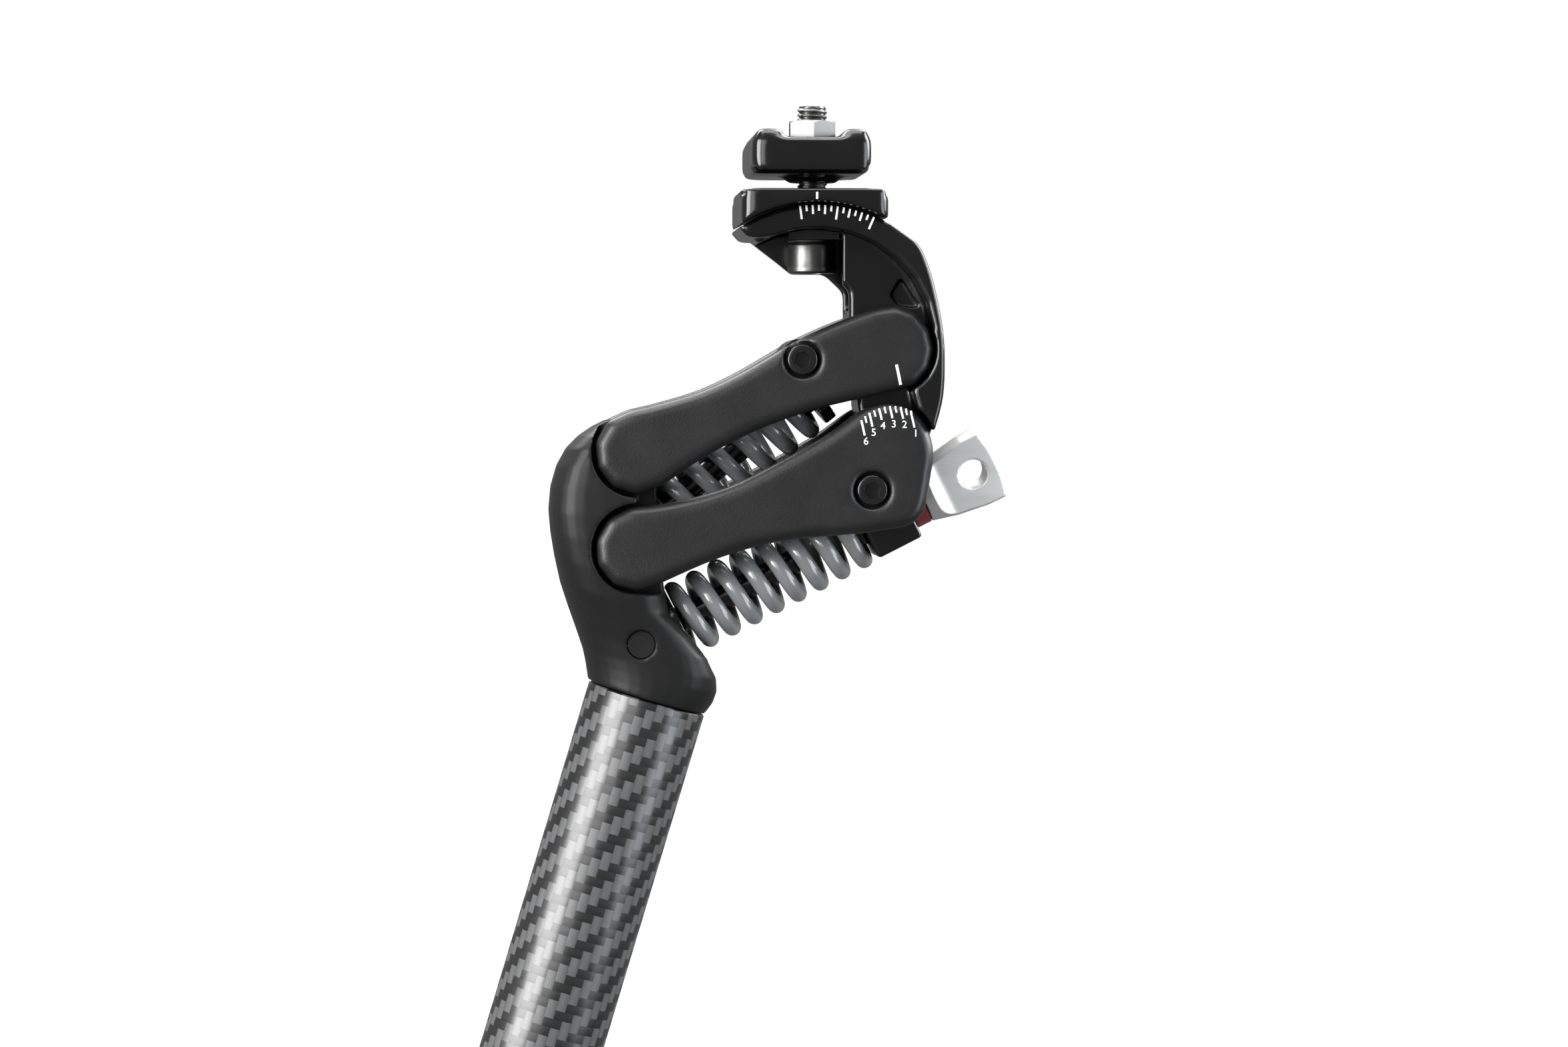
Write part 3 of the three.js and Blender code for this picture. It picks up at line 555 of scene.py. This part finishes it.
def socket_screw(node, head_r, hex_r, side):
    """A screw head with a rounded rim and a hexagonal socket, and its shank."""
    low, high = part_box(node)
    centre = (low + high) / 2
    outer = high.y if side > 0 else low.y
    inner = low.y if side > 0 else high.y
    place = placed(Vector((centre.x, outer, centre.z)), (0, -side, 0), Vector((0, 0, 1)))
    length = abs(outer - inner)
    head_height = 2.4 * MM
    shank_r = 2 * MM
    socket_depth = 2.1 * MM
    mouth_r, mouth_depth = hex_r * 1.17, 0.25 * MM
    rim = round_edge(head_r, 0.45 * MM)
    shank = [(head_height, head_r), (head_height, shank_r), (length, shank_r), (length, 0)]
    piece = lathe(node + "_turned", [(0, 0)] + rim + shank, place, 64)
    socket = prism("socket", 6, hex_r, -CLEAR, socket_depth, place, math.radians(12))
    mouth = prism("socket_mouth", 32, mouth_r, -CLEAR, mouth_depth, place)
    combine(piece, "DIFFERENCE", socket, mouth)
    crisp(piece)
    finish_piece(piece, node)
    # Keys have worn the socket's walls bright.
    piece.data.materials.append(MATERIALS["bright_steel"])
    back = place.inverted()
    wall_top, wall_bottom = 0.15 * MM, 2 * MM
    for face in piece.data.polygons:
        spot = back @ face.center
        on_wall = abs(face.normal.y) < 0.5 and math.hypot(spot.y, spot.z) < hex_r
        if on_wall and wall_top < spot.x < wall_bottom:
            face.material_index = 1


def threaded_rod(name, place, start, end, radius, pitch, sides=48):
    """A rod with a helical thread cut in it, and a pointed last turn."""
    rows_per_turn = 8
    thread_depth = 0.527 * pitch
    point_depth = 0.6 * pitch
    rows = max(2, round((end - start) / pitch * rows_per_turn))
    vertices = []
    for j in range(rows + 1):
        x = start + (end - start) * j / rows
        fullness = min(1.0, (end - x) / pitch * 0.9 + 0.15)
        for i in range(sides):
            angle = TAU * i / sides
            phase = (x / pitch + i / sides) % 1
            groove = thread_depth * abs(2 * phase - 1)
            r = radius - max(groove, point_depth * (1 - fullness))
            vertices.append(place @ Vector((x, r * math.cos(angle), r * math.sin(angle))))
    faces = [tuple(reversed(range(sides))), tuple(range(rows * sides, (rows + 1) * sides))]
    for j in range(rows):
        for i in range(sides):
            a = j * sides + i
            b = j * sides + (i + 1) % sides
            faces.append((a, b, b + sides, a + sides))
    piece = make(name, vertices, faces)
    outward(piece)
    return crisp(piece, 60)


def knurl(piece, place, columns, radius, start, end):
    """Sinks every second column of a turned piece's points between two heights."""
    depth = 0.22 * MM
    back = place.inverted()
    for vertex in piece.data.vertices:
        spot = back @ vertex.co
        column = round(math.atan2(spot.z, spot.y) / TAU * columns)
        on_side = math.hypot(spot.y, spot.z) > radius * 0.98
        if on_side and start < spot.x < end and column % 2:
            spot.yz = spot.yz * (1 - depth / radius)
            vertex.co = place @ spot
    crisp(piece, 20)


def clamp_bolt():
    """A socket bolt that points up, with a knurled head and its thread as a piece of its own."""
    low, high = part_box("clamp_bolt")
    centre = (low + high) / 2
    head_r = (high.x - low.x) / 2
    bolt_r = 4 * MM
    neck_r = bolt_r * 0.9
    neck = 1 * MM
    pitch = 1.25 * MM
    head_top = 8.6 * MM
    columns = 96
    socket_r, socket_depth = 3.4 * MM, 4.4 * MM
    mouth_r, mouth_depth = 3.9 * MM, 0.25 * MM
    place = placed(Vector((centre.x, centre.y, low.z)), (0, 0, 1))
    edge = 0.6 * MM
    rim = round_edge(head_r, edge)
    # Two rows of points close together at each end of the knurl keep its columns straight.
    side = [(x, head_r) for x in (1.6 * MM, 1.9 * MM, head_top - 1.5 * MM, head_top - 1.2 * MM)]
    # A shallow groove lies under the face that bears on the washer.
    angles = np.linspace(math.pi / 2, 0, 4)
    groove = [(head_top - edge * math.sin(a), head_r - edge * (1 - math.cos(a))) for a in angles]
    stub = [(head_top, neck_r), (head_top + neck, neck_r), (head_top + neck, 0)]
    head = lathe("clamp_bolt_forged", [(0, 0)] + rim + side + groove + stub, place, columns)
    knurl(head, place, columns, head_r, 1.7 * MM, head_top - 1.3 * MM)
    socket = prism("socket", 6, socket_r, -CLEAR, socket_depth, place, math.radians(15))
    mouth = prism("socket_mouth", 40, mouth_r, -CLEAR, mouth_depth, place)
    combine(head, "DIFFERENCE", socket, mouth)
    crisp(head)
    rod = threaded_rod("clamp_bolt_thread", place, head_top, high.z - low.z, bolt_r, pitch)
    finish_piece(rod, "clamp_bolt", replace=False)
    finish_piece(head, "clamp_bolt")


def clamp_nut():
    """A hexagon nut, its corners turned off by a cone at both ends."""
    low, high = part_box("clamp_nut")
    centre = (low + high) / 2
    corner_r = (high.y - low.y) / 2
    height = high.z - low.z
    bore_r = 4.1 * MM
    chamfer = 0.75 * MM
    wide_r = corner_r + 0.2 * MM
    flat_r = corner_r * math.cos(math.pi / 6)
    place = placed(Vector((centre.x, centre.y, low.z)), (0, 0, 1))
    nut = prism("clamp_nut_hex", 6, corner_r, 0, height, place)
    lower_cone = [(0, 0), (0, flat_r), (chamfer, wide_r)]
    upper_cone = [(height - x, r) for x, r in reversed(lower_cone)]
    combine(nut, "INTERSECT", lathe("cone", lower_cone + upper_cone, place, 72))
    combine(nut, "DIFFERENCE", prism("bore", 48, bore_r, -CLEAR, height + CLEAR, place))
    crisp(nut, 25)
    finish_piece(nut, "clamp_nut")


# ---------------------------------------------------------------- printed marks
def face_finder(piece):
    """Gives the Y of a piece's left face at any (x, z)."""
    points = [vertex.co for vertex in piece.data.vertices]
    tree = BVHTree.FromPolygons(points, [polygon.vertices for polygon in piece.data.polygons])
    outside = -100 * MM
    deepest = 0.8 * MM

    def face(x, z, flat):
        """The surface's Y, or that of the flat face where the surface lies far behind it."""
        hit = tree.ray_cast(Vector((x, outside, z)), Vector((0, 1, 0)))[0]
        return hit.y if hit is not None and hit.y < flat + deepest else flat

    return face


def print_on(piece, face, flat, body):
    """Bends a flat print onto a face, keeping its thickness."""
    for vertex in piece.data.vertices:
        vertex.co.y += face(vertex.co.x, vertex.co.z, flat)
    outward(piece)
    piece.data.materials.clear()
    piece.data.materials.append(PRINT)
    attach(piece, body)


def mark(name, start, end, width, face, flat, body):
    """A printed stroke between two points (x, z) on a face that looks to -Y."""
    a, b = Vector((start[0], 0, start[1])), Vector((end[0], 0, end[1]))
    side = (b - a).normalized().cross(Vector((0, 1, 0))) * width / 2
    rows = 10
    vertices = []
    for i in range(rows + 1):
        centre = a.lerp(b, i / rows)
        for y in (-PRINT_THICK, SUNK):
            vertices += [centre - side + Vector((0, y, 0)), centre + side + Vector((0, y, 0))]
    faces = [(0, 1, 3, 2), (4 * rows, 4 * rows + 2, 4 * rows + 3, 4 * rows + 1)]
    for i in range(rows):
        near, far = 4 * i, 4 * (i + 1)
        for j, k in ((0, 1), (1, 3), (3, 2), (2, 0)):
            faces.append((near + j, near + k, far + k, far + j))
    print_on(make(name, vertices, faces, smooth=False), face, flat, body)


def digit(name, text, place, size, face, flat, body):
    """A printed figure at a point (x, z)."""
    curve = bpy.data.curves.new(name, "FONT")
    curve.body = text
    curve.size = size
    curve.align_x = "CENTER"
    curve.align_y = "CENTER"
    curve.extrude = (PRINT_THICK + SUNK) / 2
    lettering = bpy.data.objects.new(name, curve)
    bpy.context.scene.collection.objects.link(lettering)
    upright = Matrix.Rotation(math.pi / 2, 4, "X")
    where = Matrix.Translation((place[0], (SUNK - PRINT_THICK) / 2, place[1]))
    bpy.context.view_layer.update()
    mesh = bpy.data.meshes.new_from_object(lettering.evaluated_get(bpy.context.evaluated_depsgraph_get()))
    mesh.transform(where @ upright)
    bpy.data.objects.remove(lettering)
    piece = bpy.data.objects.new(name, mesh)
    bpy.context.scene.collection.objects.link(piece)
    print_on(piece, face, flat, body)


def tilt_scale(bracket, cradle):
    """Thirteen ticks round the top of the saddle bracket, and the cradle's index line."""
    rim, side = face_finder(bracket), face_finder(cradle)
    outer = 36.0 * MM
    first, step = math.radians(-7.4), math.radians(2.6)
    stroke = 0.5 * MM
    long, medium, short = 3.4 * MM, 2.3 * MM, 1.5 * MM
    for i in range(13):
        angle = first + step * i
        length = long if i % 6 == 0 else short if i % 2 else medium
        radii = (outer, outer - length)
        ends = [(TILT_CENTRE.x + r * math.sin(angle), TILT_CENTRE.z + r * math.cos(angle)) for r in radii]
        mark(f"tilt_tick_{i + 1}", *ends, stroke, rim, RIM_FACE, "bracket")
    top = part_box("rail_cradle")[1].z
    x = TILT_CENTRE.x - 0.6 * MM
    start, end = (x, top - 1.2 * MM), (x, top - 3.0 * MM)
    mark("tilt_index", start, end, stroke, side, CRADLE_FACE, "cradle")


def sag_scale(lower_arm, upper_arm):
    """Numbered ticks at the rear of the lower arm, and the upper arm's pointer."""
    lower, upper = face_finder(lower_arm), face_finder(upper_arm)
    tilt = math.radians(12.5)
    lean = Vector((math.sin(tilt), 0, -math.cos(tilt)))
    outer = 10.3 * MM
    first, step = 50, 15.7
    lengths = {"6": 4.0, "5": 3.6, "4": 3.1, "3": 3.2, "2": 3.1, "1": 4.4}
    stroke = 0.5 * MM
    half_length, half_stroke = 1.7 * MM, 0.42 * MM
    digit_size, digit_gap = 2.7 * MM, 1.6 * MM

    def tick(name, steps, length, width):
        angle = math.radians(first - step * steps)
        tip = REAR_LOWER + Vector((-math.sin(angle), 0, math.cos(angle))) * outer
        end = tip + lean * length
        mark(name, (tip.x, tip.z), (end.x, end.z), width, lower, ARM_FACE, "lower_link")
        return end

    for i, (number, length) in enumerate(lengths.items()):
        spot = tick(f"sag_tick_{number}", i, length * MM, stroke) + lean * digit_gap
        digit(f"sag_digit_{number}", number, (spot.x, spot.z), digit_size, lower, ARM_FACE, "lower_link")
        if number != "1":
            tick(f"sag_half_tick_{number}", i + 0.5, half_length, half_stroke)
    start = REAR_UPPER + Vector((1.2, 0, -4.0)) * MM
    end = REAR_UPPER + Vector((2.3, 0, -9.2)) * MM
    mark("sag_pointer", (start.x, start.z), (end.x, end.z), 0.7 * MM, upper, ARM_FACE, "upper_link")


# ---------------------------------------------------------------- the build
rounded_from("lower_head", voxel=0.42 * MM, passes=9)
bracket = rounded_from("upper_bracket", voxel=0.38 * MM, passes=8)
arms = {}
for which in ("lower", "upper"):
    for hand in ("left", "right"):
        arms[which, hand] = rounded_from(f"{which}_arm_{hand}", voxel=0.45 * MM, passes=26)
cradle = rounded_from("rail_cradle", voxel=0.45 * MM, passes=24)
rounded_from("top_clamp", voxel=0.6 * MM, passes=36)
rounded_from("preload_knob", voxel=0.28 * MM, passes=3)
for which in ("lower", "upper"):
    for end in ("front", "rear"):
        rounded_from(f"{which}_spring_{end}_seat", voxel=0.35 * MM, passes=3)
seat_tube()
spring("lower_spring")
spring("upper_spring")
for which in ("lower", "upper"):
    for hand, side in (("left", -1), ("right", 1)):
        socket_screw(f"{which}_trunnion_screw_{hand}", head_r=3.9 * MM, hex_r=2.3 * MM, side=side)
    for end in ("front", "rear"):
        socket_screw(f"{which}_{end}_axle_screw", head_r=5 * MM, hex_r=2.3 * MM, side=1)
clamp_bolt()
clamp_nut()
tilt_scale(bracket, cradle)
sag_scale(arms["lower", "left"], arms["upper", "left"])
for node, thing in frame["nodes"].items():
    if thing.hide_render:
        continue
    thing.data.materials.clear()
    thing.data.materials.append(MATERIALS[SLOT_OF[node]])


# ---------------------------------------------------------------- floor, light and camera
def floor():
    """A pale floor under the tube's lower end. It adds no light of its own to the object."""
    z = cad_box[0][2] - 2 * MM
    half = 8.0
    corners = [(-half, -half, z), (half, -half, z), (half, half, z), (-half, half, z)]
    piece = make("studio_floor", corners, [(0, 1, 2, 3)], smooth=False)
    pale = (0.8, 0.8, 0.8)
    material, tree, shader = node_material("studio_floor", pale, roughness=0.8)
    grain(tree, shader, pale, roughness=0.8, scale=0.05, bump=0.0, shade=0.01, spread=0.02)
    shader.inputs["Emission Color"].default_value = (1, 1, 1, 1)
    shader.inputs["Emission Strength"].default_value = 0.93
    piece.data.materials.append(material)
    piece.visible_diffuse = False
    piece.visible_glossy = False
    piece.visible_shadow = False


def soft_light(name, azimuth, elevation, size, radiance, colour=(1, 1, 1)):
    """A softbox. Azimuth 0 is in front of the object and positive to the right, in degrees."""
    aim = Vector((0.06, 0, 0.14))
    distance = 1.3
    light = bpy.data.lights.new(name, "AREA")
    light.shape = "RECTANGLE"
    light.size, light.size_y = size
    light.energy = radiance * math.pi * size[0] * size[1]
    light.color = colour
    made = bpy.data.objects.new(name, light)
    bpy.context.scene.collection.objects.link(made)
    a, e = math.radians(azimuth), math.radians(elevation)
    towards = Vector((math.sin(a) * math.cos(e), -math.cos(a) * math.cos(e), math.sin(e)))
    made.location = aim + towards * distance
    made.rotation_euler = (-towards).to_track_quat("-Z", "Y").to_euler()
    made.visible_camera = False


def studio():
    """White behind the object for the camera, a dim room for everything else, and soft lights round it."""
    scene = bpy.context.scene
    world = bpy.data.worlds.new("studio")
    world.use_nodes = True
    tree = world.node_tree
    room = tree.nodes["Background"]
    room.inputs["Strength"].default_value = 0.22
    paper = add_node(tree, "ShaderNodeBackground", Strength=1.0)
    for background in (room, paper):
        background.inputs["Color"].default_value = (1, 1, 1, 1)
    seen = add_node(tree, "ShaderNodeLightPath")
    mixed = add_node(tree, "ShaderNodeMixShader")
    tree.links.new(seen.outputs["Is Camera Ray"], mixed.inputs["Fac"])
    tree.links.new(room.outputs["Background"], mixed.inputs[1])
    tree.links.new(paper.outputs["Background"], mixed.inputs[2])
    tree.links.new(mixed.outputs["Shader"], tree.nodes["World Output"].inputs["Surface"])
    scene.world = world
    cool = (0.9, 0.95, 1.0)
    soft_light("key_left", azimuth=-56, elevation=12, size=(0.8, 1.1), radiance=15)
    soft_light("front_left", azimuth=-24, elevation=14, size=(0.45, 1.0), radiance=4)
    soft_light("fill_right", azimuth=60, elevation=-2, size=(0.6, 1.1), radiance=6, colour=cool)
    soft_light("side_right", azimuth=96, elevation=26, size=(0.7, 0.9), radiance=16)
    soft_light("top", azimuth=0, elevation=78, size=(1.3, 0.6), radiance=7)
    soft_light("back_left", azimuth=-145, elevation=55, size=(0.7, 1.0), radiance=9)
    soft_light("back_right", azimuth=145, elevation=55, size=(0.7, 1.0), radiance=9)
    scene.view_settings.view_transform = "Standard"
    scene.view_settings.look = "None"


def camera():
    """The photograph's viewpoint: a little to the left, a little above, and 1.1 m in front of the object."""
    data = bpy.data.cameras.new("camera")
    data.sensor_width = 36
    data.lens = 96.1
    data.clip_end = 30
    made = bpy.data.objects.new("camera", data)
    bpy.context.scene.collection.objects.link(made)
    target = Vector((0.0680, 0, 0.1511))
    azimuth, elevation, distance = math.radians(-3.6), math.radians(1.8), 1.1
    level = math.cos(elevation)
    forward = Vector((-math.sin(azimuth) * level, math.cos(azimuth) * level, -math.sin(elevation)))
    made.location = target - forward * (distance / (math.cos(azimuth) * level))
    made.rotation_euler = forward.to_track_quat("-Z", "Y").to_euler()
    bpy.context.scene.camera = made


floor()
studio()
camera()
